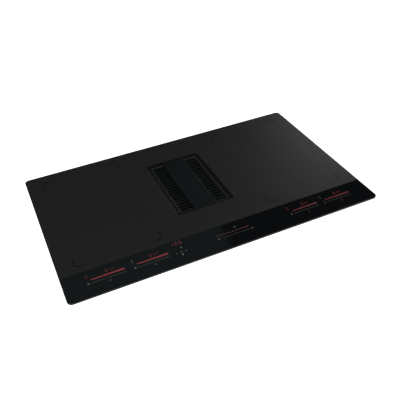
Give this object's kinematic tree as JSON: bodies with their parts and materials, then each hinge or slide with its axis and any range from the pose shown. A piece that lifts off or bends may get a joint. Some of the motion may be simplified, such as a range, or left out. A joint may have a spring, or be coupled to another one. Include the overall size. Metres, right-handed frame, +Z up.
{
  "type": "downdraft induction cooktop",
  "caption": "Built-in glass induction hob with a lift-out extraction grille in its middle, grease filter, radial blower and flat rear duct outlet below the worktop.",
  "frame": {"origin": "centre of the bounding box's bottom face, so the plenum tub's underside is at z = 0 and the glass is centred on x = y = 0", "axes": "+X to the right along the glass's long side, +Y away from the user towards the back edge, +Z up"},
  "size_m": [0.83, 0.515, 0.214],
  "materials": {
    "glass": "matte black glass ceramic with a glossy band along the front",
    "seal_foam": "closed-cell foam",
    "collar_black": "satin black paint",
    "grille_black": "fine matte black paint",
    "plate_black": "smooth satin black",
    "steel": "brushed",
    "filter_aluminium": "expanded mesh",
    "aluminium": "mill finish",
    "galvanised": "zinc-coated sheet",
    "black_plastic": "fine moulded grain",
    "grey_plastic": "fine moulded grain",
    "copper": "enamelled winding",
    "ferrite": "dull dark grey",
    "sensor_white": "satin",
    "mica": "pressed flakes",
    "circuit": "solder mask",
    "light_guide": "clear moulded"
  },
  "bodies": {
    "hob": {"glass_top": "glass", "glass_seal": "seal_foam", "intake_collar": "collar_black", "intake_well": "black_plastic", "tray_housing": "galvanised", "fixing_bracket_front_left": "galvanised", "fixing_bracket_front_right": "galvanised", "fixing_bracket_back_left": "galvanised", "fixing_bracket_back_right": "galvanised", "plenum_tub": "black_plastic", "plenum_cover": "black_plastic", "scroll_lower": "black_plastic", "scroll_upper": "black_plastic", "inlet_ring": "grey_plastic", "motor_stator": "copper", "motor_mount": "galvanised", "outlet_duct": "black_plastic", "flap_pin": "steel", "coil_winding_front_left": "copper", "coil_former_front_left": "ferrite", "coil_sensor_front_left": "sensor_white", "coil_winding_back_left": "copper", "coil_former_back_left": "ferrite", "coil_sensor_back_left": "sensor_white", "coil_winding_front_right": "copper", "coil_former_front_right": "ferrite", "coil_sensor_front_right": "sensor_white", "coil_winding_back_right": "copper", "coil_former_back_right": "ferrite", "coil_sensor_back_right": "sensor_white", "coil_plate_left": "aluminium", "coil_plate_right": "aluminium", "mica_sheet_left": "mica", "mica_sheet_right": "mica", "power_board_left": "circuit", "power_board_right": "circuit", "heat_sink_left": "aluminium", "heat_sink_right": "aluminium", "cooling_fan_frame_left": "black_plastic", "cooling_fan_frame_right": "black_plastic", "control_carrier": "grey_plastic", "control_board": "circuit", "light_guide": "light_guide", "terminal_box": "grey_plastic", "terminal_cover": "grey_plastic", "cable_gland": "black_plastic"},
    "grille": {"grille_frame": "grille_black", "grille_centre_plate": "plate_black"},
    "grease_filter": {"filter_frame": "steel", "filter_mesh": "filter_aluminium", "filter_handle": "steel"},
    "grease_tray": {"drip_tray": "grey_plastic"},
    "blower_wheel": {"impeller": "grey_plastic", "motor_rotor": "galvanised", "motor_shaft": "steel"},
    "cooling_wheel_left": {"cooling_fan_rotor_left": "black_plastic"},
    "cooling_wheel_right": {"cooling_fan_rotor_right": "black_plastic"},
    "flap": {"non_return_flap": "grey_plastic"}
  },
  "joints": [
    {"name": "grille_lift", "type": "slide", "parent": "hob", "child": "grille", "axis": [0, 0, 1], "range_m": [0, 0.26]},
    {"name": "filter_lift", "type": "slide", "parent": "hob", "child": "grease_filter", "axis": [0, 0, 1], "range_m": [0, 0.182]},
    {"name": "tray_lift", "type": "slide", "parent": "hob", "child": "grease_tray", "axis": [0, 0, 1], "range_m": [0, 0.13]},
    {"name": "blower_spin", "type": "hinge", "parent": "hob", "child": "blower_wheel", "pos_m": [0.24, -0.015, 0.085], "axis": [0, 0, 1], "continuous": true},
    {"name": "cooling_spin_left", "type": "hinge", "parent": "hob", "child": "cooling_wheel_left", "pos_m": [-0.3, 0.172, 0.162], "axis": [0, 0, 1], "continuous": true},
    {"name": "cooling_spin_right", "type": "hinge", "parent": "hob", "child": "cooling_wheel_right", "pos_m": [0.3, 0.172, 0.162], "axis": [0, 0, 1], "continuous": true},
    {"name": "flap_swing", "type": "hinge", "parent": "hob", "child": "flap", "pos_m": [0.268, 0.1602, 0.12045], "axis": [1, 0, 0], "range_deg": [0, 75]}
  ],
  "couplings": [
    {"joint": "filter_lift", "follows": "grille_lift", "ratio": 0.7},
    {"joint": "tray_lift", "follows": "grille_lift", "ratio": 0.5}
  ]
}
